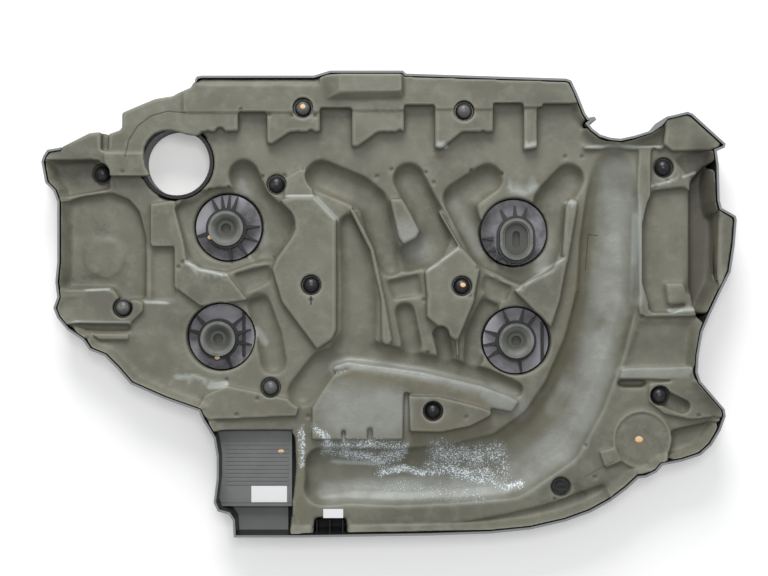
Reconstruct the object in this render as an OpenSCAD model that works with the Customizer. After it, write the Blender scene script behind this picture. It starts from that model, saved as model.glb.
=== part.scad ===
// Engine cover, seen from its engine side: a moulded tray with a foam acoustic liner
// Lies on its outer face: z = 0 is the outer face, +Z looks to the engine
// Plan places are read on a 1 mm layout grid, x to the right and y down; at() brings
// them to millimetres about the middle of the cover

/* [Cover] */
// Length of the cover over the rim
cover_len = 694; // [640:2:760]
// Width of the cover over the rim
cover_wid = 466; // [430:2:510]
// Height of the rim above the outer face
rim_h = 46; // [42:1:50]
// Thickness of the tray floor
floor_t = 3; // [2.5:0.1:4]
// Thickness of the tray wall
wall_t = 2.2; // [2:0.1:3]
// Size of the outer face against the rim, the rest is draft
draft_scale = 0.985; // [0.97:0.005:0.99]
// Height at which the wall is cut down along the slanting side
low_rim_h = 32; // [30:1:36]

/* [Filler opening] */
// Radius of the filler opening
filler_r = 33; // [31:0.5:34]
// Thickness of the collar round the filler opening
collar_t = 3.5; // [3:0.5:4]
// Height of the collar
collar_h = 36; // [34:1:40]

/* [Mounts] */
// Radius of the round mounting plates
plate_r = 33; // [31:0.5:34]
// Height of the top of the mounting plates
plate_z = 23; // [20:0.5:26]
// Thickness of the mounting plates
plate_t = 3; // [2.5:0.5:4]
// Height of the stiffening ribs above the plate
rib_rise = 7; // [5:0.5:8]
// Inner radius of a round holder ring
holder_r = 17.8; // [17.3:0.1:18.3]
// Radius of the round ends inside the long holder ring
long_holder_r = 16.8; // [16.3:0.1:17.3]
// Thickness of a holder ring
holder_t = 2.6; // [2:0.1:3]
// Height of a holder ring above the plate
holder_h = 8; // [6:0.5:10]
// Radius of the ball socket in a rubber mount
socket_r = 5; // [4.5:0.1:5.5]
// Height of the straight wall of the ball socket
socket_h = 4; // [3.5:0.5:5]
// Height of the cone that guides a ball into the socket
mouth_h = 5; // [4:0.5:6]
// Height of a rubber mount above its plate
rubber_h = 13; // [12:0.5:15]
// Radius of the mouth of a rubber mount
mouth_r = 14.6; // [13.5:0.1:15]
// Length between the two ends of the slotted mount
slot_len = 9; // [7:0.5:11]
// Width of the long hole in the slotted mount
slot_w = 7.5; // [6:0.5:9]

/* [Retaining caps] */
// Radius of the post that a cap is pushed on
post_r = 3; // [2.6:0.1:3.2]
// Radius of the cap dome
dome_r = 8.2; // [7.6:0.1:8.6]
// Radius of the cap flange that holds the liner
flange_r = 9.4; // [9:0.1:9.8]
// Thickness of the cap flange
flange_t = 1.5; // [1:0.1:2]
// Height of the straight part under the dome
cap_neck_h = 2.5; // [2:0.5:4]

/* [Foam liner] */
// Height of the flat middle level of the liner
mid_z = 34; // [32:0.5:36]
// Height of the pads between the channels
pad_z = 43; // [41:0.5:45]
// Height of the band along the long upper side
band_z = 46; // [44:0.5:48]
// Height of the raised box at the rim
box_z = 54; // [50:1:58]
// Height of the floor of the pipe channels
pipe_z = 21; // [18:0.5:24]
// Height of the floor of the wide duct channel
duct_z = 17; // [14:0.5:20]
// Height of the floor of the flat recesses
recess_z = 26; // [24:0.5:29]
// Lean of the moulded foam walls
lean = 2; // [1:0.25:3]
// Lean of the walls of the pads
pad_lean = 4; // [3:0.25:5]

/* [Bare panel] */
// Height of the bare plastic panel beside the liner
panel_z = 24; // [22:0.5:27]
// Height of the low ribs on the panel
rib_h = 0.5; // [0.3:0.1:0.8]

/* [Labels] */
// Thickness of the paper labels
label_t = 0.4; // [0.3:0.1:0.6]

/* [Hidden] */
$fn = 64;
sliver = 0.01;
lap = 1;
grid_mid = [389, 304];
grid_size = [694, 466];
stretch = [cover_len / grid_size[0], cover_wid / grid_size[1]];
tall = 80;

liner_gap = 0.8;
rim_clear = 1.3;
fit_gap = 0.3;
pocket_gap = 1.6;
post_gap = 1;
well_gap = 0.6;
collar_gap = 2;
foam_fn = 20;
duct_fn = 28;
pocket_fn = 40;
bite_fn = 9;

filler_at = [176, 162];
// edge of the liner over the collar, with the flap that reaches over the opening
liner_hole = [[203, 130], [212, 141], [216, 152], [215, 167], [210, 182], [198, 195], [180, 201], [163, 200],
              [149, 192], [138, 178], [151, 176], [146, 168], [144, 158], [144, 148], [148, 140], [154, 134],
              [162, 131], [170, 130], [178, 132], [188, 135], [200, 136]];

// outline of the rim, clockwise from the upper left corner
rim_line = [
    [42, 162], [44, 156], [48, 150], [60, 148], [70, 143], [80, 138], [90, 133], [100, 132], [109, 134],
    [120, 130], [122, 128], [122, 113], [140, 105], [155, 99], [173, 96], [180, 92], [191, 88], [197, 77],
    [202, 76], [314, 76], [330, 71], [403, 71], [406, 74], [500, 77], [566, 79], [571, 81], [577, 94],
    [585, 114], [588, 118], [594, 117], [596, 120], [592, 121], [588, 124], [592, 129], [600, 135],
    [610, 138], [620, 139], [634, 136], [650, 131], [660, 124], [666, 117], [675, 115], [687, 112],
    [692, 114], [725, 144], [724, 148], [716, 151], [718, 165], [719, 200], [721, 208], [735, 216],
    [736, 220], [734, 245], [730, 272], [720, 292], [708, 318], [702, 332], [698, 355], [697, 372],
    [700, 381], [724, 409], [725, 416], [720, 430], [711, 445], [700, 455], [682, 461], [662, 465],
    [656, 472], [646, 477], [638, 478], [626, 489], [610, 501], [590, 512], [565, 521], [530, 529],
    [490, 533], [430, 535], [300, 537], [234, 537], [233, 520], [229, 514], [218, 511], [214, 502],
    [217, 478], [217, 456], [214, 438], [203, 420], [199, 411], [165, 399], [131, 384], [118, 369],
    [105, 356], [90, 350], [83, 340], [68, 330], [58, 318], [54, 308], [58, 297], [56, 282], [58, 262],
    [58, 202], [54, 191], [46, 183]];

// part of the cover where the liner runs out over the cut-down wall
slant_zone = [[66, 165], [62, 150], [60, 138], [115, 95], [192, 60], [197, 92], [125, 145]];

// mounts: place of the plate and its height over or under plate_z, place of the socket
mount_plates = [[227, 227, 0], [220, 337, -1], [515, 232, 0], [517, 341, 1]];
mount_sockets = [[225, 228], [217, 339], [517, 239], [517, 341]];
slotted = 2;
// directions of the stiffening ribs on the plates, in degrees from the right, counterclockwise
plate_ribs = [[116, 98, 84, 70, 4, -22, -51, -80, 195],
              [134, 163, 42, 16, -10, -65],
              [117, 92, 71, 178, 204, 228, 254],
              [113, 76, 51, 162, 188, 211, -80]];
rib_root = 4.2;
rib_tip = 1;
// straight bars across two of the plates: which plate, ends
plate_bars = [[1, [241, 310], [244, 357]], [3, [542, 322], [545, 366]]];
bar_rise = 5;
tower_walls = 3;

// posts and caps: place, height of the seat in the liner
cap_spots = [[100, 173, 22], [303, 108, 34], [464, 111, 34], [276, 184, 26], [311, 285, 31], [462, 286, 31],
             [665, 167, 25], [122, 308, 28], [270, 388, 26], [433, 411, 32], [661, 396, 27]];
cap_count = len(cap_spots);
well_r = flange_r + well_gap;
post_reach = flange_t + cap_neck_h;
stud_spot = [562, 488, 25];
stud_post_r = post_r + 1;
stud_seat_h = 2;
stud_flange_r = flange_r - 1;
stud_r = 5;
stud_h = 5;
stud_slot_w = 1.6;
stud_slot_h = 2;

// bare panel: outline of the field free of foam, its step, bead and lower strip
panel_field = [[200, 431], [293, 431], [298, 438], [299, 470], [296, 500], [291, 516], [289, 540], [200, 540]];
panel_plate = [[200, 432], [291, 508]];
strip_plate = [[200, 508], [287, 545]];
panel_bead_y = 505;
bead_h = 3;
strip_z = 19;
panel_ribs_y = [442 : 4 : 486];
panel_rib_x = [224, 288];
panel_rib_w = 1;
panel_props_x = [236, 256, 276];
prop_t = 2;

// clip window in the lower edge of the liner
clip_window = [[316, 519], [344, 533]];
clip_side = 2;
clip_fins_x = [316, 329, 342];
clip_fin_t = 1.2;
clip_fin_h = 34;

large_label = [[250, 488], [286, 504.5]];
small_label = [[323, 510], [343, 519]];

shell_color = [0.2, 0.2, 0.21];
foam_color = [0.47, 0.46, 0.41];
rubber_color = [0.46, 0.48, 0.44];
cap_color = [0.06, 0.06, 0.07];
label_color = [0.95, 0.95, 0.95];

function at(p) = [(p[0] - grid_mid[0]) * stretch[0], (grid_mid[1] - p[1]) * stretch[1]];
function plan(points) = [for (p = points) at(p)];
// scale of the drafted outline at a height
function draft_at(z) = draft_scale + (1 - draft_scale) * z / rim_h;
// height of the top of a mounting plate
function seat_z(i) = plate_z + mount_plates[i][2];

module place(p) translate([at(p)[0], at(p)[1], 0]) children();

// outline pulled in by a distance and carried up along the draft between two heights
module drafted(inset, z0, z1)
    translate([0, 0, z0])
        linear_extrude(height = z1 - z0, scale = draft_at(z1) / draft_at(z0))
            scale(draft_at(z0))
                offset(delta = -inset) polygon(plan(rim_line));

// upright block over a grid rectangle
module slab(corners, z0, z1)
    translate([at(corners[0])[0], at(corners[1])[1], z0])
        cube([at(corners[1])[0] - at(corners[0])[0], at(corners[0])[1] - at(corners[1])[1], z1 - z0]);

// The tray: floor, drafted wall, and the wall cut down along the slanting side
module tray() difference() {
    drafted(0, 0, rim_h);
    drafted(wall_t, floor_t, rim_h + lap);
    translate([0, 0, low_rim_h]) linear_extrude(height = tall) polygon(plan(slant_zone));
}

// plate carried on walls, with its ribs and the holder ring
module tower(i) {
    shift = at(mount_sockets[i]) - at(mount_plates[i]);
    place(mount_plates[i]) {
        translate([0, 0, seat_z(i) - plate_t]) cylinder(h = plate_t, r = plate_r);
        for (k = [0 : tower_walls - 1]) rotate(k * 180 / tower_walls)
            translate([2 * wall_t - plate_r, -wall_t / 2, floor_t - lap])
                cube([2 * (plate_r - 2 * wall_t), wall_t, seat_z(i) - plate_t - floor_t + 2 * lap]);
        translate([shift[0], shift[1], seat_z(i) - lap]) {
            if (i == slotted) long_ring(holder_h + lap);
            else round_ring(holder_h + lap);
        }
        intersection() {
            translate([shift[0], shift[1], seat_z(i) - lap])
                for (a = plate_ribs[i]) rotate(a) plate_rib(i == slotted ? slot_len / 2 : 0);
            translate([0, 0, seat_z(i) - plate_t]) cylinder(h = plate_t + rib_rise + lap, r = plate_r);
        }
    }
    for (b = plate_bars) if (b[0] == i) intersection() {
        slab([b[1], b[2]], seat_z(i) - lap, seat_z(i) + bar_rise);
        place(mount_plates[i]) cylinder(h = seat_z(i) + rib_rise + lap, r = plate_r);
    }
}

module round_ring(h) difference() {
    cylinder(h = h, r = holder_r + holder_t);
    translate([0, 0, -lap]) cylinder(h = h + 2 * lap, r = holder_r);
}

module long_ring(h) difference() {
    linear_extrude(height = h) stadium(long_holder_r + holder_t);
    translate([0, 0, -lap]) linear_extrude(height = h + 2 * lap) stadium(long_holder_r);
}

// long shape standing along y
module stadium(r) {
    for (s = [-1, 1]) translate([0, s * slot_len / 2]) circle(r = r);
    square([2 * r, slot_len], center = true);
}

// tapering rib from the holder ring out to the edge of the plate
module plate_rib(extra)
    linear_extrude(height = rib_rise + lap)
        polygon([[holder_r + holder_t / 2 + extra - lap, -rib_root / 2], [plate_r + lap, -rib_tip / 2],
                 [plate_r + lap, rib_tip / 2], [holder_r + holder_t / 2 + extra - lap, rib_root / 2]]);

module posts() {
    for (c = cap_spots) place(c)
        translate([0, 0, floor_t - lap]) cylinder(h = c[2] + post_reach - floor_t + lap, r = post_r);
    place(stud_spot)
        translate([0, 0, floor_t - lap]) cylinder(h = stud_spot[2] - fit_gap - floor_t + lap, r = stud_post_r);
}

module collar() place(filler_at)
    translate([0, 0, floor_t - lap]) cylinder(h = collar_h - floor_t + lap, r = filler_r + collar_t);

module filler_bore() place(filler_at)
    translate([0, 0, -lap]) cylinder(h = tall, r = filler_r);

// bare panel: a plate on props with a bead, low ribs and the lower strip
module bare_panel() {
    intersection() {
        drafted(wall_t / 2, floor_t / 2, rim_h - lap);
        union() {
            slab(panel_plate, panel_z - plate_t, panel_z);
            slab([strip_plate[0] - [0, plate_t], strip_plate[1]], strip_z - plate_t, strip_z);
            slab([strip_plate[0] - [0, plate_t], [strip_plate[1][0], strip_plate[0][1]]],
                 strip_z - plate_t, panel_z);
            slab([[panel_plate[0][0], panel_bead_y], panel_plate[1]], panel_z - lap, panel_z + bead_h);
            for (x = panel_props_x)
                slab([[x, panel_plate[0][1] + prop_t], [x + prop_t, strip_plate[1][1]]], floor_t / 2, strip_z - lap);
        }
    }
    for (y = panel_ribs_y)
        slab([[panel_rib_x[0], y], [panel_rib_x[1], y + panel_rib_w]], panel_z - lap, panel_z + rib_h);
}

module clip_fins()
    for (x = clip_fins_x)
        slab([[x, clip_window[0][1] + clip_side], [x + clip_fin_t, clip_window[1][1] + lap]],
             floor_t - lap, clip_fin_h);

module cover_shell() color(shell_color) difference() {
    union() {
        tray();
        for (i = [0 : len(mount_plates) - 1]) tower(i);
        posts();
        collar();
        bare_panel();
        clip_fins();
    }
    filler_bore();
}

// The foam liner: a flat level with raised fields, cut by channels, hollows and wells

// raised block with leaning walls over a convex grid polygon
module raised(points, z, out = lean) hull() {
    translate([0, 0, floor_t]) linear_extrude(height = sliver) offset(delta = out) polygon(plan(points));
    translate([0, 0, z - sliver]) linear_extrude(height = sliver) polygon(plan(points));
}

// sunk field with leaning walls under a convex grid polygon
module sunk(points, z, out = lean / 2) hull() {
    translate([0, 0, z]) linear_extrude(height = sliver) offset(delta = -out) polygon(plan(points));
    translate([0, 0, band_z]) linear_extrude(height = sliver) offset(delta = out) polygon(plan(points));
}

// profile of a round-bottomed hollow, in shares of its radius
bowl_profile = [[0, 0], [0.5, 0.04], [0.82, 0.25], [1, 0.75]];
bowl_flare = 1.06;

// round-bottomed hollow: place, radius, and how far its floor lies above z
module bowl(p, z, fn) place(p) rotate_extrude($fn = fn)
    polygon(concat([for (b = bowl_profile) [b[0] * p[2], z + (len(p) > 3 ? p[3] : 0) + b[1] * p[2]]],
                   [[bowl_flare * p[2], box_z + lap], [0, box_z + lap]]));

// channel through a chain of hollows
module channel(chain, z, fn = foam_fn)
    for (i = [0 : len(chain) - 2]) hull() {
        bowl(chain[i], z, fn);
        bowl(chain[i + 1], z, fn);
    }

// rounded crest along a chain of places with radii
module crest(chain, z)
    for (i = [0 : len(chain) - 2]) hull()
        for (p = [chain[i], chain[i + 1]]) place(p) {
            translate([0, 0, floor_t]) cylinder(h = sliver, r = p[2] + lean, $fn = foam_fn / 2);
            translate([0, 0, z - sliver]) cylinder(h = sliver, r = p[2], $fn = foam_fn / 2);
        }

// space that the liner may fill
module liner_space() difference() {
    union() {
        drafted(wall_t + liner_gap, floor_t, rim_h);
        translate([0, 0, rim_h - lap]) linear_extrude(height = tall - rim_h)
            offset(delta = -wall_t - rim_clear) polygon(plan(rim_line));
        translate([0, 0, low_rim_h + fit_gap]) linear_extrude(height = tall - low_rim_h) intersection() {
            polygon(plan(rim_line));
            offset(delta = -fit_gap) polygon(plan(slant_zone));
        }
    }
    translate([0, 0, floor_t - lap]) linear_extrude(height = tall) polygon(plan(panel_field));
}

// band along the upper long side, and the flaps that hang from it
band_blocks = [
    [[184, 93], [197, 78], [270, 78], [270, 112], [184, 112]],
    [[266, 78], [320, 76], [320, 112], [266, 112]],
    [[318, 76], [354, 73], [354, 108], [318, 108]],
    [[352, 73], [404, 73], [404, 110], [352, 110]],
    [[402, 75], [438, 76], [438, 105], [402, 105]],
    [[435, 76], [493, 77], [493, 109], [435, 109]],
    [[491, 77], [526, 78], [526, 103], [491, 103]],
    [[523, 78], [542, 79], [542, 107], [523, 107]],
    [[538, 79], [568, 81], [578, 104], [540, 104]]];
flaps = [
    [[184, 110], [238, 110], [238, 131], [200, 132], [184, 122]],
    [[267, 110], [320, 110], [320, 132], [267, 132]], [[267, 129], [290, 129], [290, 132], [272, 144], [267, 143]],
    [[352, 108], [404, 108], [404, 132], [352, 132]], [[352, 129], [378, 129], [378, 132], [357, 147], [352, 146]],
    [[435, 107], [493, 107], [493, 132], [435, 132]], [[435, 129], [463, 129], [462, 132], [441, 149], [435, 148]]];
flap_drop = 1.5;
// torn places in the lower edges of the flaps
bites = [[208, 134, 3.4], [220, 132, 5], [232, 134, 2.8], [286, 138, 2.6], [298, 134, 3], [304, 135, 3.4],
         [311, 133, 3.6], [319, 134, 2.6], [376, 136, 2.4], [384, 134, 2.8], [391, 134, 2.8], [400, 133, 3.4],
         [458, 139, 2.6], [466, 134, 2.6], [474, 134.5, 3.2], [483, 133, 2.8]];
band_tooth = [[524, 100], [537, 100], [537, 148], [524, 150]];
rim_slope = [[197, 86], [320, 86]];
rim_slope_angle = 26;
rim_box_foot = [[321, 75], [403, 75], [403, 99], [323, 101]];
rim_box_top = [[340, 75], [402, 75], [402, 92], [340, 93]];

// upper left corner of the liner
corner_blocks = [
    [[40, 150], [62, 146], [101, 128], [101, 160], [40, 160]], [[109, 128], [124, 128], [124, 176], [109, 176]],
    [[100, 151], [124, 151], [124, 176], [107, 176], [101, 166]],
    [[120, 110], [150, 98], [186, 88], [186, 124], [200, 134], [150, 150], [132, 176], [120, 176]]];
corner_rise = 1;
corner_step = [[104, 153], [148, 153], [150, 176], [108, 176]];
flap_line_at = [172, 158];
flap_line_r = [46, 47.2];
flap_line_angles = [72 : 10 : 172];
flap_line_depth = 1.2;

pads = [
    [[281, 200], [291, 197], [314, 197], [336, 219], [336, 232], [297, 232], [292, 218]],
    [[336, 228], [336, 330], [332, 339], [317, 349], [282, 302], [272, 269], [279, 253], [297, 228]],
    [[390, 199], [403, 199], [420, 223], [420, 232], [414, 240], [404, 245], [399, 238]],
    [[458, 248], [463, 249], [480, 268], [473, 302], [428, 302], [425, 271]],
    [[427, 299], [475, 299], [458, 340], [455, 340], [427, 317]],
    [[515, 291], [562, 259], [567, 262], [560, 300], [551, 327], [530, 303]],
    [[667, 118], [688, 113], [724, 145], [716, 150], [673, 151], [664, 144]],
    [[719, 210], [736, 218], [731, 264], [726, 276], [717, 292], [718, 240]]];
low_pads = [
    [[284, 178], [304, 167], [309, 178], [314, 196], [284, 196]],
    [[150, 204], [174, 200], [182, 236], [186, 262], [176, 290], [177, 244], [150, 244]],
    [[186, 262], [228, 276], [247, 300], [200, 306], [178, 290]],
    [[56, 290], [108, 289], [118, 298], [142, 303], [142, 311], [130, 323], [62, 323], [56, 312]],
    [[90, 334], [128, 334], [128, 340], [98, 340]],
    [[204, 396], [226, 386], [262, 402], [300, 402], [296, 416], [212, 420], [198, 408]],
    [[640, 146], [652, 146], [651, 188], [642, 215], [641, 282], [649, 312], [641, 316], [635, 282], [636, 215]],
    [[648, 311], [700, 308], [698, 316], [643, 317]],
    [[622, 369], [690, 367], [690, 380], [621, 379]],
    [[650, 384], [694, 380], [722, 409], [722, 416], [692, 420], [665, 414], [650, 402]],
    [[584, 145], [664, 145], [664, 149], [584, 149]],
    [[600, 452], [616, 448], [622, 462], [606, 468]]];
low_pad_rise = 4;
plateau = [
    [[346, 363], [402, 370], [404, 384], [403, 440], [312, 440], [312, 408], [322, 392], [336, 371]],
    [[400, 370], [450, 378], [500, 391], [519, 402], [512, 412], [480, 400], [450, 394], [402, 392]]];
plateau_rise = 6;
teardrop = [[409, 396], [440, 397], [480, 407], [491, 411], [491, 415], [470, 426], [440, 432], [410, 431]];
crests = [
    [[352, 210, 2], [372, 250, 2], [383, 300, 2], [387, 340, 5]],
    [[440, 212, 1], [460, 247, 1]],
    [[457, 336, 1], [458, 360, 1]],
    [[336, 369, 3], [348, 365, 3], [422, 375, 3], [481, 389, 3], [509, 401, 3]]];
crest_rise = 5;
side_rib = [[566, 206], [571, 198], [577, 201], [577, 208], [568, 262], [562, 262]];

// channels cut in the liner: chain of places and radii
pipe_runs = [
    [[243, 174, 15], [254, 200, 16], [273, 225, 22], [262, 247, 18]],
    [[321, 175, 16], [357, 190, 16], [373, 202, 15], [382, 238, 14], [391, 264, 12]],
    [[409, 178, 16], [424, 206, 15], [438, 232, 16], [428, 250, 16], [410, 258, 15]],
    [[488, 178, 15], [459, 198, 16], [468, 222, 13], [480, 245, 13], [492, 264, 12]],
    [[570, 178, 15], [553, 201, 20], [551, 234, 14], [545, 262, 10], [522, 275, 9], [501, 273, 8]]];
shallow_runs = [
    [[350, 224, 11], [356, 260, 17], [359, 300, 20], [358, 338, 20], [340, 356, 14]],
    [[302, 392, 16], [322, 364, 14], [362, 352, 14], [404, 361, 12], [450, 369, 10], [486, 378, 9], [516, 390, 8]],
    [[405, 312, 10], [412, 346, 10]], [[441, 334, 8], [446, 354, 8]],
    [[492, 300, 10], [477, 334, 12], [474, 358, 10]],
    [[258, 304, 12], [268, 335, 14], [273, 362, 14]],
    [[74, 328, 4, 4], [126, 328, 4, 4]],
    [[668, 400, 8, 4], [684, 407, 7, 4]]];
shallow_lift = 4;
mount_dish = [[174, 208], [188, 194], [218, 186], [252, 190], [284, 214], [288, 236], [268, 258], [226, 273],
              [200, 269], [187, 257], [181, 234]];
dish_lift = 2;
duct_run = [[614, 168, 26, 12], [612, 200, 29, 5], [609, 240, 31], [608, 296, 34], [594, 350, 34], [575, 396, 36],
            [551, 436, 39], [508, 466, 38], [455, 474, 33], [400, 478, 31], [350, 477, 30]];
duct_ends = [[[350, 477, 30], [322, 466, 18]], [[350, 477, 30], [323, 477, 18]],
             [[350, 477, 30], [322, 488, 18]]];

// bars left standing across the channels, each with a shallow field
bars = [[[227, 277], [262, 260], [273, 261], [277, 284], [268, 294], [246, 301]],
        [[378, 278], [423, 268], [429, 272], [429, 301], [388, 306]],
        [[479, 268], [486, 268], [521, 285], [516, 297], [508, 309], [475, 294]]];
bar_fields = [[[231, 274], [269, 264], [271, 281], [246, 293]], [[386, 281], [420, 273], [423, 296], [393, 300]],
              [[484, 273], [514, 287], [506, 302], [481, 290]]];
bar_z = mid_z - 2;
field_depth = 3;

// flat recesses
recesses = [
    [[42, 162], [92, 160], [102, 168], [108, 180], [109, 189], [64, 197], [40, 195]],
    [[50, 207], [80, 196], [110, 192], [128, 199], [138, 211], [145, 238], [145, 288], [50, 288]],
    [[110, 286], [145, 286], [145, 300], [120, 300]],
    [[648, 203], [654, 190], [686, 186], [697, 196], [693, 230], [697, 262], [690, 306], [672, 313], [652, 313],
     [643, 282], [643, 225]],
    [[619, 380], [650, 380], [645, 388], [618, 388]],
    [[673, 431], [719, 420], [719, 436], [706, 452], [676, 462], [664, 458]]];
side_hollow = [[675, 158], [692, 151], [712, 153], [714, 176], [692, 179]];
side_hollow_lift = 4;
trench = [[692, 182], [704, 176], [711, 160], [715, 166], [717, 205], [716, 290], [706, 318], [699, 322],
          [692, 290], [697, 262], [694, 225]];
trench_z = 12;
deep_block = [[667, 283], [686, 283], [692, 303], [670, 305]];
block_rise = 7;
narrow_recess = [[150, 246], [174, 246], [174, 301], [150, 301]];
narrow_depth = 3;
shelf = [[640, 322], [694, 322], [692, 366], [625, 368]];
shelf_depth = 2;
edge_strips = [
    [[300, 529], [430, 526], [430, 545], [300, 545]], [[428, 526], [466, 523], [466, 545], [428, 545]],
    [[464, 523], [502, 516], [502, 545], [464, 545]], [[500, 516.5], [545, 506], [545, 540], [500, 540]],
    [[543, 506.5], [580, 494], [606, 484], [612, 505], [543, 540]]];
edge_depth = 4;
corner_groove = [[101, 120], [109, 120], [109, 151], [101, 151]];
groove_depth = 2;
round_field_at = [102, 258, 20];
round_field_h = 2.5;
foam_disc_at = [643, 440, 27];
foam_disc_ring = 3;
foam_disc_h = 3;
plateau_slits = [[[341, 430], [346, 430], [346, 440], [341, 440]], [[367, 428], [373, 428], [373, 442], [367, 442]]];

// level field under the whole liner
module level(z) translate([0, 0, floor_t]) linear_extrude(height = z - floor_t)
    square([2 * cover_len, 2 * cover_wid], center = true);

module liner_solids() {
    level(mid_z);
    for (b = band_blocks) raised(b, band_z);
    for (f = flaps) raised(f, band_z - flap_drop);
    raised(band_tooth, band_z - lean);
    hull() {
        translate([0, 0, band_z - lap]) linear_extrude(height = sliver) polygon(plan(rim_box_foot));
        translate([0, 0, box_z - sliver]) linear_extrude(height = sliver) polygon(plan(rim_box_top));
    }
    for (b = corner_blocks) raised(b, pad_z + corner_rise);
    raised(corner_step, band_z);
    for (p = pads) raised(p, pad_z, pad_lean);
    for (p = low_pads) raised(p, mid_z + low_pad_rise);
    for (p = plateau) raised(p, mid_z + plateau_rise);
    raised(teardrop, band_z);
}

module liner_cuts() {
    for (run = pipe_runs) channel(run, pipe_z);
    for (run = shallow_runs) channel(run, pipe_z + shallow_lift);
    sunk(mount_dish, recess_z + dish_lift);
    channel(duct_run, duct_z, duct_fn);
    for (run = duct_ends) channel(run, duct_z, duct_fn);
    for (r = recesses) sunk(r, recess_z);
    sunk(side_hollow, recess_z + side_hollow_lift);
    sunk(trench, trench_z);
    sunk(narrow_recess, mid_z - narrow_depth);
    sunk(shelf, mid_z - shelf_depth);
    for (s = edge_strips) sunk(s, mid_z - edge_depth);
    sunk(corner_groove, pad_z - groove_depth);
}

module liner_returns() {
    for (b = bars) raised(b, bar_z);
    for (c = crests) crest(c, mid_z + crest_rise);
    raised(side_rib, pad_z);
    raised(deep_block, recess_z + block_rise);
    place(round_field_at) cylinder(h = recess_z + round_field_h, r = round_field_at[2], $fn = duct_fn);
    place(foam_disc_at) cylinder(h = mid_z + foam_disc_h, r = foam_disc_at[2] + foam_disc_ring, $fn = duct_fn);
}

// thin line cut in the foam round the filler opening
module flap_line() place(flap_line_at)
    translate([0, 0, pad_z + corner_rise - flap_line_depth])
        for (a = flap_line_angles) rotate(a) translate([flap_line_r[0], 0, 0])
            cube([flap_line_r[1] - flap_line_r[0], flap_line_r[1] * sin(flap_line_angles[1] + lap), tall]);

// slope along the rim of the band
module rim_slope_cut() place(rim_slope[0])
    translate([0, 0, band_z]) rotate([-rim_slope_angle, 0, 0])
        cube([at(rim_slope[1])[0] - at(rim_slope[0])[0], tall / 2, tall / 2]);

module foam_liner() color(foam_color) difference() {
    intersection() {
        liner_space();
        union() {
            difference() {
                liner_solids();
                liner_cuts();
            }
            level(trench_z);
            liner_returns();
        }
    }
    rim_slope_cut();
    for (b = bites) place(b) translate([0, 0, mid_z + lap]) cylinder(h = tall, r = b[2], $fn = bite_fn);
    for (b = bar_fields) sunk(b, bar_z - field_depth);
    for (s = plateau_slits) sunk(s, mid_z);
    for (p = mount_plates) place(p)
        translate([0, 0, floor_t - lap]) cylinder(h = tall, r = plate_r + pocket_gap, $fn = pocket_fn);
    for (c = cap_spots) place(c) {
        translate([0, 0, floor_t - lap]) cylinder(h = tall, r = post_r + post_gap, $fn = foam_fn);
        translate([0, 0, c[2]]) cylinder(h = tall, r = well_r, $fn = foam_fn);
    }
    place(stud_spot) {
        translate([0, 0, floor_t - lap]) cylinder(h = tall, r = stud_post_r + post_gap, $fn = foam_fn);
        translate([0, 0, stud_spot[2] - stud_seat_h]) cylinder(h = tall, r = well_r, $fn = foam_fn);
    }
    place(foam_disc_at) translate([0, 0, mid_z + lap]) difference() {
        cylinder(h = tall, r = foam_disc_at[2], $fn = duct_fn);
        translate([0, 0, -lap]) cylinder(h = 2 * lap, r = foam_disc_at[2] - foam_disc_ring, $fn = duct_fn);
    }
    slab([clip_window[0] - [clip_side, 0], clip_window[1] + [clip_side, tall / 8]], floor_t - lap, tall);
    place(filler_at) translate([0, 0, floor_t - lap])
        cylinder(h = collar_h + fit_gap - floor_t + lap, r = filler_r + collar_t + collar_gap, $fn = pocket_fn);
    translate([0, 0, collar_h - lap]) linear_extrude(height = tall) polygon(plan(liner_hole));
    flap_line();
}

// The rubber mounts: cups with a ball socket, pushed into the holder rings
cup_floor = rubber_h - mouth_h - socket_h;
cone_lead = 3;
long_mouth_r = mouth_r - 1;
long_step_r = mouth_r - 3;
long_step_h = 2;

module rubber_round() difference() {
    cylinder(h = rubber_h, r = holder_r - fit_gap);
    translate([0, 0, cup_floor]) cylinder(h = rubber_h, r = socket_r);
    translate([0, 0, rubber_h - mouth_h])
        cylinder(h = mouth_h + sliver, r1 = socket_r + cone_lead, r2 = mouth_r);
}

module rubber_slotted() difference() {
    linear_extrude(height = rubber_h) stadium(long_holder_r - fit_gap);
    translate([0, 0, cup_floor]) linear_extrude(height = rubber_h) {
        for (s = [-1, 1]) translate([0, s * slot_len / 2]) circle(d = slot_w);
        square([slot_w, slot_len], center = true);
    }
    translate([0, 0, rubber_h - mouth_h]) linear_extrude(height = mouth_h + lap) stadium(long_step_r);
    translate([0, 0, rubber_h - long_step_h]) linear_extrude(height = long_step_h + lap) stadium(long_mouth_r);
}

module seated(i) place(mount_sockets[i]) translate([0, 0, seat_z(i)]) children();

module mount_upper_left() color(rubber_color) seated(0) rubber_round();
module mount_lower_left() color(rubber_color) seated(1) rubber_round();
module mount_slotted() color(rubber_color) seated(slotted) rubber_slotted();
module mount_lower_right() color(rubber_color) seated(3) rubber_round();

// Caps, stud and labels
module cap(i) color(cap_color) place(cap_spots[i - 1]) translate([0, 0, cap_spots[i - 1][2]]) difference() {
    union() {
        cylinder(h = flange_t, r = flange_r);
        cylinder(h = flange_t + cap_neck_h, r = dome_r);
        translate([0, 0, flange_t + cap_neck_h]) intersection() {
            sphere(r = dome_r);
            cylinder(h = dome_r, r = dome_r + lap);
        }
    }
    translate([0, 0, -lap]) cylinder(h = post_reach + lap, r = post_r + fit_gap / 2);
}

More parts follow.
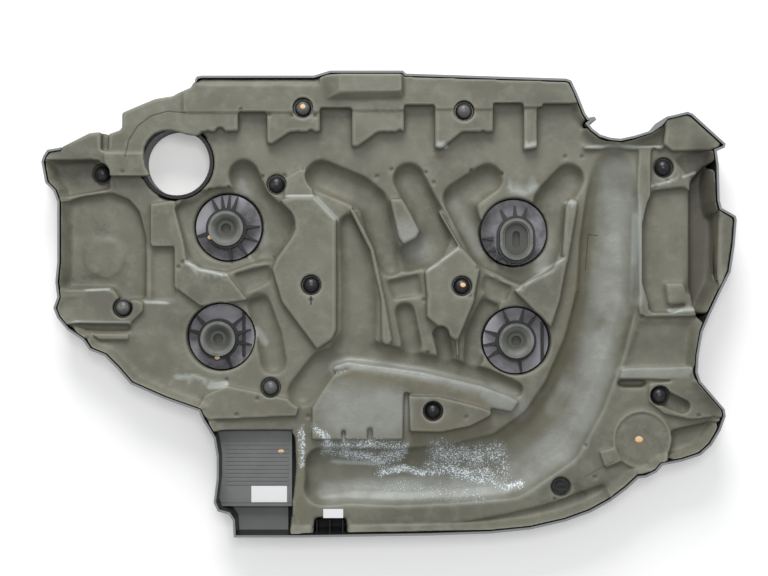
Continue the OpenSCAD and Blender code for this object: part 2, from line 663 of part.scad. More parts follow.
module retaining_stud() color(cap_color) place(stud_spot) translate([0, 0, stud_spot[2] - fit_gap]) difference() {
    union() {
        cylinder(h = flange_t, r = stud_flange_r);
        cylinder(h = stud_h, r = stud_r);
    }
    translate([-stud_r - lap, -stud_slot_w / 2, stud_h - stud_slot_h])
        cube([2 * stud_r + 2 * lap, stud_slot_w, stud_slot_h + lap]);
}

module label_large() color(label_color) slab(large_label, panel_z, panel_z + label_t);
module label_small() color(label_color) slab(small_label, mid_z, mid_z + label_t);

cover_shell();
foam_liner();
mount_upper_left();
mount_lower_left();
mount_slotted();
mount_lower_right();
for (i = [1 : cap_count]) cap(i);
retaining_stud();
label_large();
label_small();
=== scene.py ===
# %% [markdown]
# # An engine cover on a white table, engine side up
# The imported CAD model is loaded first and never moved: it gives every place and size.
# This script adds what the eye wants: soft foam, dusty plastic, glossy caps, paper,
# light and a camera that looks straight down, as a parts seller would take the picture.

# %% Load the frame
import math
import bpy
import numpy as np
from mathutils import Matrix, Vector, noise
from mathutils.bvhtree import BVHTree


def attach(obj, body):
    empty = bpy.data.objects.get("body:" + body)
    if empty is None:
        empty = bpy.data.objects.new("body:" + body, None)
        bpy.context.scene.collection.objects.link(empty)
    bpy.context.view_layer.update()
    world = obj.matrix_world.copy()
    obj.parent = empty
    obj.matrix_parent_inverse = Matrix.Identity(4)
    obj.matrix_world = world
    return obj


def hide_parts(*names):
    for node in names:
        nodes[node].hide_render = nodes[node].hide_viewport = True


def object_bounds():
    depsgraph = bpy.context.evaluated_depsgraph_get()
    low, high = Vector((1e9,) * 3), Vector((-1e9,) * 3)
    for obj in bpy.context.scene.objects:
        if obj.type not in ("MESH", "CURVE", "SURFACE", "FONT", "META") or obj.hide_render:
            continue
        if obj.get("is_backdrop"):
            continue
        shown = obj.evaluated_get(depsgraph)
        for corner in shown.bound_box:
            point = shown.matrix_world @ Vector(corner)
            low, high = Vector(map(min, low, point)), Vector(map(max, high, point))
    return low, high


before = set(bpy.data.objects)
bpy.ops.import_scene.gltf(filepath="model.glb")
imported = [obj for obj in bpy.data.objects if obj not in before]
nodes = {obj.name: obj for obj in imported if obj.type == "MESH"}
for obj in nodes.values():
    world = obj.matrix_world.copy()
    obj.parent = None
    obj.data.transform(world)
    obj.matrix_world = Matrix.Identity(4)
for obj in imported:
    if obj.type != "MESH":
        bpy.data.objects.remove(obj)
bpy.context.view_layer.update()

bpy.ops.object.select_all(action="DESELECT")

# %% [markdown]
# ## A layout grid
# The cover was drawn on a 1 mm grid, x to the right and y down. Two small functions turn
# grid places into metres and back, so that paint dots, stains and painted light and shade sit where they
# belong.

# %% Grid places to metres, and back
MM = 0.001
GRID_MIDDLE = (389.0, 304.0)


def at(x, y):
    return Vector(((x - GRID_MIDDLE[0]) * MM, (GRID_MIDDLE[1] - y) * MM, 0.0))


def on_grid(co):
    return co[:, 0] / MM + GRID_MIDDLE[0], GRID_MIDDLE[1] - co[:, 1] / MM


print("grid middle in metres:", tuple(at(*GRID_MIDDLE)))


# %% Select one piece, and apply its modifiers
def only(piece):
    bpy.ops.object.select_all(action="DESELECT")
    piece.select_set(True)
    bpy.context.view_layer.objects.active = piece


def apply_all(piece):
    only(piece)
    for modifier in list(piece.modifiers):
        bpy.ops.object.modifier_apply(modifier=modifier.name)


print("piece helpers: only, apply_all")

# %% [markdown]
# ## Node helpers
# Materials are built from nodes in code. `node` adds one and sets or links its inputs,
# which keeps each material readable as a list of steps. `patches` is a noise that fades
# over a range, `times` a product, and `tint` lays a paint over a colour through a mask.

# %% Helpers that add shader nodes
def node(tree, kind, inputs=None, **settings):
    made = tree.nodes.new(kind)
    for name, value in settings.items():
        setattr(made, name, value)
    for name, value in (inputs or {}).items():
        socket = made.inputs[name]
        if isinstance(value, bpy.types.NodeSocket):
            tree.links.new(value, socket)
        else:
            socket.default_value = value
    return made


def mix_color(tree, factor, a, b):
    made = tree.nodes.new("ShaderNodeMix")
    made.data_type = "RGBA"
    made.clamp_factor = True
    for index, value in ((0, factor), (6, a), (7, b)):
        if isinstance(value, bpy.types.NodeSocket):
            tree.links.new(value, made.inputs[index])
        else:
            made.inputs[index].default_value = value
    return made.outputs[2]


def math_node(tree, operation, a, b=0.0, clamp=False):
    made = tree.nodes.new("ShaderNodeMath")
    made.operation = operation
    made.use_clamp = clamp
    for index, value in ((0, a), (1, b)):
        if isinstance(value, bpy.types.NodeSocket):
            tree.links.new(value, made.inputs[index])
        else:
            made.inputs[index].default_value = value
    return made.outputs[0]


def step_between(tree, value, low, high):
    made = node(tree, "ShaderNodeMapRange", {"Value": value, "From Min": low, "From Max": high})
    made.interpolation_type = "SMOOTHSTEP"
    return made.outputs["Result"]


def noise_at(tree, place, scale, detail=2.0, rough=0.5):
    made = node(tree, "ShaderNodeTexNoise",
                {"Vector": place, "Scale": scale, "Detail": detail, "Roughness": rough})
    return made.outputs["Fac"]


def patches(tree, place, scale, detail, rough, low, high):
    return step_between(tree, noise_at(tree, place, scale, detail, rough), low, high)


def times(tree, *values):
    out = values[0]
    for other in values[1:]:
        out = math_node(tree, "MULTIPLY", out, other)
    return out


def upward(tree):
    facing = node(tree, "ShaderNodeNewGeometry").outputs["Normal"]
    return node(tree, "ShaderNodeSeparateXYZ", {"Vector": facing}).outputs["Z"]


def attribute(tree, name):
    return node(tree, "ShaderNodeAttribute", attribute_name=name).outputs["Fac"]


def tint(tree, color, paint, mask, share):
    return mix_color(tree, times(tree, mask, share), color, paint)


print("node helpers: node, mix_color, math_node, patches, times, tint and others")

# %% [markdown]
# ## Three shader groups
# Dust lies on what faces up and fades in patches. Grain is a fine height that makes
# plastic and foam look moulded. A soft stroke is a line that fades to its sides. Each is
# used more than once, so each is a group.

# %% Group: dust on faces that look up
DUST_FACES = (0.55, 0.98)
DUST_CLOUD = (6.0, 0.62)
DUST_PATCH = (0.3, 0.66)


def make_dust_group():
    tree = bpy.data.node_groups.new("settled_dust", "ShaderNodeTree")
    tree.interface.new_socket("Scale", in_out="INPUT", socket_type="NodeSocketFloat")
    tree.interface.new_socket("Amount", in_out="INPUT", socket_type="NodeSocketFloat")
    tree.interface.new_socket("Mask", in_out="OUTPUT", socket_type="NodeSocketFloat")
    start, end = tree.nodes.new("NodeGroupInput"), tree.nodes.new("NodeGroupOutput")
    place = node(tree, "ShaderNodeTexCoord").outputs["Object"]
    up = step_between(tree, upward(tree), *DUST_FACES)
    patch = patches(tree, place, start.outputs["Scale"], *DUST_CLOUD, *DUST_PATCH)
    mask = math_node(tree, "MULTIPLY", times(tree, up, patch), start.outputs["Amount"], True)
    tree.links.new(mask, end.inputs["Mask"])
    return tree


dust_group = make_dust_group()
print("group:", dust_group.name)


# %% Group: fine moulded grain
GRAIN_NOISE = (3.0, 0.6)
GRAIN_FLOOR = 0.4


def make_grain_group():
    tree = bpy.data.node_groups.new("moulded_grain", "ShaderNodeTree")
    tree.interface.new_socket("Scale", in_out="INPUT", socket_type="NodeSocketFloat")
    tree.interface.new_socket("Height", in_out="OUTPUT", socket_type="NodeSocketFloat")
    start, end = tree.nodes.new("NodeGroupInput"), tree.nodes.new("NodeGroupOutput")
    place = node(tree, "ShaderNodeTexCoord").outputs["Object"]
    fine = noise_at(tree, place, start.outputs["Scale"], *GRAIN_NOISE)
    cells = node(tree, "ShaderNodeTexVoronoi", {"Vector": place, "Scale": start.outputs["Scale"]})
    height = times(tree, fine, math_node(tree, "ADD", cells.outputs["Distance"], GRAIN_FLOOR))
    tree.links.new(height, end.inputs["Height"])
    return tree


grain_group = make_grain_group()
print("group:", grain_group.name)


# %% Group: a soft stroke from one place to another
def make_stroke_group():
    tree = bpy.data.node_groups.new("soft_stroke", "ShaderNodeTree")
    for name, kind in (("Place", "Vector"), ("Start", "Vector"), ("End", "Vector"),
                       ("Width", "Float"), ("Core", "Float")):
        tree.interface.new_socket(name, in_out="INPUT", socket_type="NodeSocket" + kind)
    tree.interface.new_socket("Mask", in_out="OUTPUT", socket_type="NodeSocketFloat")
    start, end = tree.nodes.new("NodeGroupInput"), tree.nodes.new("NodeGroupOutput")

    def vector(operation, a, b=(0.0, 0.0, 0.0)):
        return node(tree, "ShaderNodeVectorMath", {0: a, 1: b}, operation=operation)

    flat = vector("MULTIPLY", start.outputs["Place"], (1.0, 1.0, 0.0)).outputs["Vector"]
    way = vector("SUBTRACT", start.outputs["End"], start.outputs["Start"]).outputs["Vector"]
    here = vector("SUBTRACT", flat, start.outputs["Start"]).outputs["Vector"]
    along = vector("DOT_PRODUCT", here, way).outputs["Value"]
    length = vector("DOT_PRODUCT", way, way).outputs["Value"]
    share = math_node(tree, "DIVIDE", along, length, True)
    near = node(tree, "ShaderNodeVectorMath", {0: way, "Scale": share}, operation="SCALE")
    far = vector("DISTANCE", here, near.outputs["Vector"]).outputs["Value"]
    mask = step_between(tree, far, start.outputs["Width"], start.outputs["Core"])
    tree.links.new(mask, end.inputs["Mask"])
    return tree


stroke_group = make_stroke_group()
print("group:", stroke_group.name)


# %% Strokes as masks
def highest(tree, masks):
    out = masks[0]
    for other in masks[1:]:
        out = math_node(tree, "MAXIMUM", out, other)
    return out


def stroke(tree, place, points, width, core, strength):
    masks = []
    for a, b in zip(points, points[1:]):
        made = add_group(tree, stroke_group, Width=width * MM, Core=width * core * MM)
        made.inputs["Start"].default_value = at(*a)
        made.inputs["End"].default_value = at(*b)
        tree.links.new(place, made.inputs["Place"])
        masks.append(made.outputs["Mask"])
    return math_node(tree, "MULTIPLY", highest(tree, masks), strength)


print("stroke helpers: highest, stroke")


# %% A new material with its shader
def new_material(name, roughness, **sockets):
    made = bpy.data.materials.new(name)
    made.use_nodes = True
    tree = made.node_tree
    shader = tree.nodes["Principled BSDF"]
    shader.inputs["Roughness"].default_value = roughness
    for socket, value in sockets.items():
        shader.inputs[socket.replace("_", " ")].default_value = value
    place = node(tree, "ShaderNodeTexCoord").outputs["Object"]
    return made, tree, shader, place


def add_group(tree, group, **values):
    made = tree.nodes.new("ShaderNodeGroup")
    made.node_tree = group
    for name, value in values.items():
        made.inputs[name].default_value = value
    return made


def add_bump(tree, shader, height, strength, distance):
    bump = node(tree, "ShaderNodeBump", {"Strength": strength, "Distance": distance, "Height": height})
    tree.links.new(bump.outputs["Normal"], shader.inputs["Normal"])


print("material helpers: new_material, add_group, add_bump")

# %% [markdown]
# ## Foam finish
# The liner is moulded foam with a soft skin: olive grey, blotched, paler where
# hands and ducts rubbed it. Painted sheen lies on the rubbed places, painted highlights on
# lit edges, and painted shade in the folds, on slopes turned from the light and in pockets.
# Near the lower edge a white salt-like bloom has dried on it. Where the stains and the
# painted light and shade lie is stored on the mesh further on, and the material reads it
# there. Clouds, specks and crystals are noise on Object coordinates.

# %% Foam colours
FOAM_BASE = (0.178, 0.173, 0.132, 1.0)
FOAM_DARK = (0.125, 0.119, 0.088, 1.0)
FOAM_PALE = (0.245, 0.245, 0.195, 1.0)
FOAM_OLIVE_PAINTED_SHADE = (0.165, 0.148, 0.092, 1.0)
FOAM_PAINTED_SHADE = (0.078, 0.071, 0.054, 1.0)
FOAM_RUBBED_SHEEN = (0.35, 0.372, 0.345, 1.0)
FOAM_PAINTED_HIGHLIGHT = (0.42, 0.45, 0.42, 1.0)
FOAM_GREY = (0.3, 0.325, 0.335, 1.0)
LINE_DARK = (0.05, 0.047, 0.038, 1.0)
BLOOM_WHITE = (0.78, 0.85, 0.87, 1.0)
print("foam base colour:", FOAM_BASE[:3])

# %% Foam material: blotches, paler edges as wear and painted highlight, folds darker as painted shade
# A patch look is the scale, detail and roughness of a noise, and the range that it fades over.
FOAM_CLOUDS = (14.0, 5.0, 0.6, 0.35, 0.7)
FOAM_BLOTCHES = (70.0, 4.0, 0.6, 0.42, 0.74)
EDGE_RELIEF = (0.54, 0.72)
FOLD_RELIEF = (0.46, 0.28)

foam_finish, tree, shader, place = new_material("foam_skin", roughness=0.5)
clouds = patches(tree, place, *FOAM_CLOUDS)
blotches = patches(tree, place, *FOAM_BLOTCHES)
color = mix_color(tree, clouds, FOAM_BASE, FOAM_DARK)
color = tint(tree, color, FOAM_PALE, blotches, share=0.4)
relief = attribute(tree, "relief")
# Bulging edges turn paler, partly wear and partly painted highlight; folds turn darker, painted shade.
edges = step_between(tree, relief, *EDGE_RELIEF)
fold_painted_shade = step_between(tree, relief, *FOLD_RELIEF)
color = tint(tree, color, FOAM_PALE, edges, share=0.5)
color = tint(tree, color, FOAM_DARK, fold_painted_shade, share=0.7)
print("foam base and relief:", len(tree.nodes), "nodes")

# %% Foam material: stains, painted shade and painted highlights read from the mesh
DARK_SPECKS = (190.0, 4.0, 0.7, 0.35, 0.6)
WEAR_AND_SHEEN_PATCHES = (24.0, 4.0, 0.5, 0.15, 0.6)

# Olive painted shade: an olive tint that darkens the slopes turned from the light.
color = tint(tree, color, FOAM_OLIVE_PAINTED_SHADE, attribute(tree, "olive_painted_shade"), share=0.6)
# Dark specks: dirt stains, and painted shade in deep pockets and slots.
dirt_and_shade = times(tree, attribute(tree, "dirt_and_shade"), patches(tree, place, *DARK_SPECKS))
color = tint(tree, color, LINE_DARK, dirt_and_shade, share=0.6)
# Painted shade in the right-hand trench, deep pockets and under ledges.
color = tint(tree, color, FOAM_PAINTED_SHADE, attribute(tree, "painted_shade"), share=0.78)
# Paler rubbed places: wear, and painted sheen along the duct and on lit ridges.
worn_and_sheen = times(tree, attribute(tree, "rubbed_and_sheen"), patches(tree, place, *WEAR_AND_SHEEN_PATCHES))
color = tint(tree, color, FOAM_RUBBED_SHEEN, worn_and_sheen, share=0.62)
# Painted highlights along lit edges, ridges and glossy spots.
painted_highlight = attribute(tree, "painted_highlight")
color = tint(tree, color, FOAM_PAINTED_HIGHLIGHT, painted_highlight, share=0.75)
print("foam with stains:", len(tree.nodes), "nodes")

# %% Foam material: thin lines drawn in the shader
# A stroke is its places on the grid, its width in mm, its hard core and its strength.
OPENING = (172, 158)
OPENING_LINE_R = 46.6
opening_line = [(OPENING[0] + OPENING_LINE_R * math.cos(math.radians(a)),
                 OPENING[1] - OPENING_LINE_R * math.sin(math.radians(a))) for a in range(74, 180, 21)]
THIN_LINES = [(opening_line, 1.1, 0.2, 0.8),
              ([(588, 270), (591, 234), (601, 235)], 0.9, 0.2, 0.7),
              ([(574, 312), (577, 292), (582, 292)], 0.8, 0.2, 0.5),
              ([(311, 297), (311, 304)], 1.5, 0.3, 1.0),
              ([(586, 478), (614, 462)], 0.9, 0.2, 0.5)]

lines = highest(tree, [stroke(tree, place, *line) for line in THIN_LINES])
color = mix_color(tree, lines, color, LINE_DARK)
print("thin lines:", len(THIN_LINES))

# %% Foam material: white bloom
BLOOM_EDGE = (62.0, 5.0, 0.7, 0.3, 0.58)
BLOOM_RAGGED, BLOOM_EVEN = 0.6, 0.4
CRYSTALS = (720.0, 2.0, 0.75)
CUT_ABOVE, CUT_GIVES = 0.64, 0.2
CRYSTAL_FADE = (0.0, 0.06)
AREA_FADE = (0.02, 0.3)

ragged = patches(tree, place, *BLOOM_EDGE)
bloom_area = times(tree, attribute(tree, "bloom"),
                   math_node(tree, "ADD", times(tree, ragged, BLOOM_RAGGED), BLOOM_EVEN))
crystals = noise_at(tree, place, *CRYSTALS)
cut = math_node(tree, "SUBTRACT", CUT_ABOVE, times(tree, bloom_area, CUT_GIVES))
drift = step_between(tree, math_node(tree, "SUBTRACT", crystals, cut), *CRYSTAL_FADE)
bloom = times(tree, drift, step_between(tree, bloom_area, *AREA_FADE))
color = tint(tree, color, FOAM_GREY, bloom_area, share=0.5)
color = tint(tree, color, BLOOM_WHITE, bloom, share=0.95)
tree.links.new(color, shader.inputs["Base Color"])
print("foam with bloom:", len(tree.nodes), "nodes")

# %% Foam material: sheen and grain
FOAM_ROUGH, FOAM_SHINE = 0.56, 0.2
FOAM_GRAIN = 520.0
GRAIN_RISE, BLOTCH_RISE, BLOOM_RISE, LINE_DEPTH = 0.35, 0.8, 1.4, 1.5
FOAM_BUMP = (0.35, 0.0006)

shine = times(tree, highest(tree, [worn_and_sheen, painted_highlight]), FOAM_SHINE)
tree.links.new(math_node(tree, "SUBTRACT", FOAM_ROUGH, shine), shader.inputs["Roughness"])
grain = add_group(tree, grain_group, Scale=FOAM_GRAIN)
height = math_node(tree, "ADD", times(tree, grain.outputs["Height"], GRAIN_RISE),
                   times(tree, blotches, BLOTCH_RISE))
height = math_node(tree, "ADD", height, times(tree, bloom, BLOOM_RISE))
height = math_node(tree, "SUBTRACT", height, times(tree, lines, LINE_DEPTH))
add_bump(tree, shader, height, *FOAM_BUMP)
print("finish:", foam_finish.name, len(foam_finish.node_tree.nodes), "nodes")

# %% [markdown]
# ## Plastic, rubber, caps, paper, paint
# The tray is black plastic, grey with dust where it faces up. The sockets are rubber with
# a chalky film. Seven caps are glossy and four are dusty. The two labels are plain paper.

# %% Shell colours, and the heights in mm at which they lie
PLASTIC_BLACK = (0.006, 0.006, 0.007, 1.0)
PLASTIC_WORN = (0.02, 0.02, 0.022, 1.0)
PLATE_DUST = (0.36, 0.35, 0.375, 1.0)
RING_DUST = (0.2, 0.2, 0.21, 1.0)
RIM_DUST = (0.33, 0.34, 0.34, 1.0)
PANEL_GREY = (0.165, 0.173, 0.17, 1.0)
PANEL_PALE = (0.225, 0.233, 0.226, 1.0)
STRIP_GREY = (0.14, 0.147, 0.144, 1.0)
PLATE_Z, RING_Z, RIM_Z = (21.7, 24.3), (25.5, 40.0), (45.6, 60.0, 0.2)
PANEL_Z, STRIP_Z = (18.0, 30.0), (2.0, 17.5)
print("plates between", PLATE_Z, "mm, panel between", PANEL_Z, "mm")


# %% Shell material
def height_band(tree, height, low, high, soft=0.4):
    rise = step_between(tree, height, (low - soft) * MM, low * MM)
    fall = step_between(tree, height, (high + soft) * MM, high * MM)
    return times(tree, rise, fall)


SHELL_CLOUDS = (30.0, 5.0, 0.6)
SHELL_DUST, SHELL_GRAIN, SHELL_BUMP = 16.0, 900.0, (0.2, 0.0003)
PANEL_RIGHT, PANEL_TOP = (-0.09, -0.091), (-0.124, -0.125)
PANEL_FACES = (0.2, 0.6)
CHALK_ROUGH = (-0.9, 1.6)
RING_SHARE, RIM_SHARE, PANEL_SHARE, STRIP_SHARE = 0.08, 0.75, 0.92, 0.7

shell_finish, tree, shader, place = new_material(
    "dusty_black_plastic", roughness=0.45, Specular_IOR_Level=0.22)
shades = noise_at(tree, place, *SHELL_CLOUDS)
color = mix_color(tree, shades, PLASTIC_BLACK, PLASTIC_WORN)
axes = node(tree, "ShaderNodeSeparateXYZ", {"Vector": place}).outputs
dust = add_group(tree, dust_group, Scale=SHELL_DUST, Amount=1.0).outputs["Mask"]
on_plates = times(tree, dust, height_band(tree, axes["Z"], *PLATE_Z))
color = mix_color(tree, on_plates, color, PLATE_DUST)
on_rings = times(tree, dust, height_band(tree, axes["Z"], *RING_Z), RING_SHARE)
color = mix_color(tree, on_rings, color, RING_DUST)
on_rim = times(tree, height_band(tree, axes["Z"], *RIM_Z), RIM_SHARE)
color = mix_color(tree, on_rim, color, RIM_DUST)
panel_x = step_between(tree, axes["X"], *PANEL_RIGHT)
panel_y = step_between(tree, axes["Y"], *PANEL_TOP)
level_faces = step_between(tree, upward(tree), *PANEL_FACES)
on_panel = times(tree, panel_x, panel_y, level_faces,
                 height_band(tree, axes["Z"], *PANEL_Z), PANEL_SHARE)
color = mix_color(tree, on_panel, color, mix_color(tree, shades, PANEL_GREY, PANEL_PALE))
on_strip = times(tree, panel_x, panel_y, dust,
                 height_band(tree, axes["Z"], *STRIP_Z), STRIP_SHARE)
color = mix_color(tree, on_strip, color, STRIP_GREY)
tree.links.new(color, shader.inputs["Base Color"])
chalk = highest(tree, [on_plates, on_rim, on_panel])
tree.links.new(step_between(tree, chalk, *CHALK_ROUGH), shader.inputs["Roughness"])
grain = add_group(tree, grain_group, Scale=SHELL_GRAIN)
add_bump(tree, shader, grain.outputs["Height"], *SHELL_BUMP)
print("finish:", shell_finish.name)

# %% Rubber material
RUBBER_DARK = (0.105, 0.11, 0.092, 1.0)
RUBBER_PALE = (0.165, 0.172, 0.15, 1.0)
RUBBER_DUST = (0.25, 0.26, 0.235, 1.0)
RUBBER_MOUTH_SHADE = (0.05, 0.05, 0.044, 1.0)
RUBBER_CLOUDS = (90.0, 4.0, 0.6, 0.35, 0.7)
RUBBER_FILM, RUBBER_FILM_SHARE = 60.0, 0.45
RUBBER_GRAIN, RUBBER_BUMP = 700.0, (0.3, 0.0003)
MOUTH_Z = (35.6 * MM, 32.0 * MM)

rubber_finish, tree, shader, place = new_material("chalky_rubber", roughness=0.62)
color = mix_color(tree, patches(tree, place, *RUBBER_CLOUDS), RUBBER_DARK, RUBBER_PALE)
film = add_group(tree, dust_group, Scale=RUBBER_FILM, Amount=RUBBER_FILM_SHARE)
color = mix_color(tree, film.outputs["Mask"], color, RUBBER_DUST)
depth = node(tree, "ShaderNodeSeparateXYZ", {"Vector": place}).outputs["Z"]
# Darker deeper in the mouth of the cup: painted shade.
color = tint(tree, color, RUBBER_MOUTH_SHADE, step_between(tree, depth, *MOUTH_Z), share=0.8)
tree.links.new(color, shader.inputs["Base Color"])
grain = add_group(tree, grain_group, Scale=RUBBER_GRAIN)
add_bump(tree, shader, grain.outputs["Height"], *RUBBER_BUMP)
print("finish:", rubber_finish.name)

# %% Cap materials
CAP_HAZE = (160.0, 4.0, 0.6, 0.4, 0.75)
DOME_FACES = (0.35, 0.85)
CAP_ROUGH, DOME_SHINE = 0.75, 0.4


def cap_material(name, dark, grey):
    finish, tree, shader, place = new_material(name, roughness=0.3)
    dome = step_between(tree, upward(tree), *DOME_FACES)
    color = mix_color(tree, patches(tree, place, *CAP_HAZE), dark, grey)
    color = mix_color(tree, dome, PLASTIC_BLACK, color)
    tree.links.new(color, shader.inputs["Base Color"])
    rough = math_node(tree, "SUBTRACT", CAP_ROUGH, times(tree, dome, DOME_SHINE))
    tree.links.new(rough, shader.inputs["Roughness"])
    return finish


cap_finish = cap_material("glossy_cap", (0.012, 0.012, 0.014, 1.0), (0.05, 0.05, 0.055, 1.0))
dull_cap_finish = cap_material("dusty_cap", (0.1, 0.105, 0.1, 1.0), (0.17, 0.175, 0.165, 1.0))
print("finishes:", cap_finish.name, dull_cap_finish.name)


# %% Paper and paint materials
def speckled_material(name, roughness, look, dark, pale, bump):
    finish, tree, shader, place = new_material(name, roughness)
    marks = noise_at(tree, place, *look)
    tree.links.new(mix_color(tree, marks, dark, pale), shader.inputs["Base Color"])
    add_bump(tree, shader, marks, *bump)
    return finish


label_finish = speckled_material(
    "blank_paper", roughness=0.7, look=(900.0, 4.0, 0.7),
    dark=(0.86, 0.85, 0.86, 1.0), pale=(0.93, 0.92, 0.93, 1.0), bump=(0.15, 0.0002))
paint_finish = speckled_material(
    "orange_paint", roughness=0.4, look=(500.0, 3.0, 0.6),
    dark=(0.75, 0.36, 0.12, 1.0), pale=(0.95, 0.7, 0.42, 1.0), bump=(0.4, 0.0003))
print("finishes:", label_finish.name, paint_finish.name)

# %% [markdown]
# ## Finishes on the CAD pieces
# Rigid pieces keep their CAD mesh and its flat facets: only the material changes. The
# caps that are dusty in the picture are found by their places.

# %% Assign materials to the rigid nodes
FINISH_OF = {"cover_shell": shell_finish, "retaining_stud": cap_finish,
             "label_large": label_finish, "label_small": label_finish}
DUSTY_CAPS = [(122, 308), (270, 386), (303, 108), (465, 110)]


def is_near(piece, places, reach=6.0 * MM):
    middle = sum((Vector(corner) for corner in piece.bound_box), Vector()) / 8.0
    return any((at(x, y) - middle).xy.length < reach for x, y in places)


for name, piece in nodes.items():
    finish = FINISH_OF.get(name)
    if name.startswith("mount_"):
        finish = rubber_finish
    elif name.startswith("cap_"):
        finish = dull_cap_finish if is_near(piece, DUSTY_CAPS) else cap_finish
    if finish is None:
        continue
    piece.data.materials.clear()
    piece.data.materials.append(finish)
print("finished nodes:", sorted(n for n in nodes if n != "foam_liner"))

# %% [markdown]
# ## The soft liner
# Foam has no sharp edges. A copy of the CAD liner is merged, voxel remeshed to an even
# skin and smoothed, so every edge rolls over as in a foam mould. The flat back ends with
# few faces, because the decimate step takes them there first.

# %% Remesh a copy of the liner
VOXEL = 0.00135
MERGE = 0.00001

cad_liner = nodes["foam_liner"]
liner = bpy.data.objects.new("soft_foam_liner", cad_liner.data.copy())
bpy.context.scene.collection.objects.link(liner)
only(liner)
bpy.ops.object.mode_set(mode="EDIT")
bpy.ops.mesh.select_all(action="SELECT")
bpy.ops.mesh.remove_doubles(threshold=MERGE)
bpy.ops.object.mode_set(mode="OBJECT")
remesh = liner.modifiers.new("even_skin", "REMESH")
remesh.mode = "VOXEL"
remesh.voxel_size = VOXEL
apply_all(liner)
print("liner skin:", len(liner.data.polygons), "faces")

# %% [markdown]
# ### Sculpt-like vertex moves
# A mould leaves slight waves, and handling leaves nicks at the pad corners. Both are small
# moves of the vertices along their normals, from repeatable noise and a list of places.
# The vertices are read into arrays, moved there all at once and written back.

# %% Read and write vertices as arrays
def vectors(mesh, what):
    flat = np.empty(len(mesh.vertices) * 3, np.float32)
    mesh.vertices.foreach_get(what, flat)
    return flat.reshape(-1, 3)


def positions(mesh):
    return vectors(mesh, "co").astype(np.float64)


def set_positions(mesh, co):
    mesh.vertices.foreach_set("co", co.astype(np.float32).ravel())
    mesh.update()


def store(mesh, name, values):
    layer = mesh.attributes.new(name, "FLOAT", "POINT")
    layer.data.foreach_set("value", values.astype(np.float32))


def neighbour_mean(mesh):
    pairs = np.empty(len(mesh.edges) * 2, np.int32)
    mesh.edges.foreach_get("vertices", pairs)
    a, b = pairs.reshape(-1, 2).T
    ends, others = np.concatenate((a, b)), np.concatenate((b, a))
    count = np.bincount(ends, minlength=len(mesh.vertices))

    def mean(values):
        sums = [np.bincount(ends, values[others, axis], len(count)) for axis in range(3)]
        return np.stack(sums, 1) / count[:, None]

    return mean


def rise(value, low, high):
    share = np.clip((value - low) / (high - low), 0.0, 1.0)
    return share * share * (3.0 - 2.0 * share)


print("liner vertices:", len(liner.data.vertices))

# %% Roll the edges over: crisp on the pads, soft in the hollows
PAD_Z, BACK_Z = (31.5, 37.0), (6.0, 12.0)
ROUNDS, EVEN_ROUNDS, PULL = 22, 3, 0.5

co = positions(liner.data)
mean = neighbour_mean(liner.data)
softness = 1.0 - rise(co[:, 2] / MM, *PAD_Z)
softness *= rise(co[:, 2] / MM, *BACK_Z)
for turn in range(ROUNDS):
    weight = np.where(turn < EVEN_ROUNDS, PULL, PULL * softness)
    co += (mean(co) - co) * weight[:, None]
print("soft share:", float(softness.mean()))

# %% Round the wells of the caps
WELL_GAP = 0.8 * MM
WELL_STEP = 1.0 * MM
WELL_REACH = 3.0 * MM

for name, piece in nodes.items():
    if name.startswith("cap_"):
        shape = positions(piece.data)
        low, high = shape.min(0), shape.max(0)
        away = co[:, :2] - (low[:2] + high[:2]) / 2
        far = np.hypot(*away.T)
        well = (high[0] - low[0]) / 2 + WELL_GAP
        wall = (co[:, 2] > low[2] + WELL_STEP) & (far < well) & (far > well - WELL_REACH)
        co[wall, :2] += away[wall] * (well / far[wall] - 1.0)[:, None]
set_positions(liner.data, co)
print("wells rounded with a gap of", WELL_GAP, "m")

# %% Waves and nicks
NICKS = [(315, 116), (292, 116), (269, 115), (241, 110), (303, 168), (284, 175), (262, 176), (228, 187),
         (210, 190), (392, 169), (377, 176), (426, 172), (502, 173), (472, 170), (354, 208), (434, 182),
         (566, 156), (583, 156), (655, 149), (657, 187), (669, 180), (178, 267), (182, 262), (225, 277),
         (272, 258), (425, 270), (424, 300), (478, 268), (470, 296), (428, 353), (458, 358), (562, 257),
         (522, 287), (311, 300), (243, 316), (226, 380), (236, 415), (257, 399), (308, 417), (123, 172),
         (105, 172), (643, 317), (596, 478), (586, 446), (700, 416), (337, 372), (466, 417), (556, 500)]
NICK_R = 1.8 * MM
NICK_DEPTH = 2.0 * MM
WAVE, WAVE_SCALE = 0.35 * MM, 45.0
TOP_FACES = 0.2

outward = vectors(liner.data, "normal")
top = outward[:, 2] > TOP_FACES
waves = np.array([noise.noise(Vector(p) * WAVE_SCALE) for p in co.tolist()])
move = np.where(top, waves * WAVE, 0.0)
for x, y in NICKS:
    spot = at(x, y)
    far = np.hypot(co[:, 0] - spot.x, co[:, 1] - spot.y)
    move -= np.where(top, NICK_DEPTH * np.exp(-(far / NICK_R) ** 2), 0.0)
co += outward * move[:, None]
set_positions(liner.data, co)
print("largest move mm:", float(np.abs(move).max() / MM))

# %% Thin out the faces and store the relief as an attribute
FOAM_FACES = 290000
RELIEF_ROUNDS, RELIEF_GAIN = 8, 0.35 * MM
RELIEF_MIDDLE, RELIEF_SPAN = 0.5, 0.25

thin = liner.modifiers.new("fewer_faces", "DECIMATE")
thin.ratio = min(1.0, FOAM_FACES / (2.0 * len(liner.data.polygons)))
apply_all(liner)


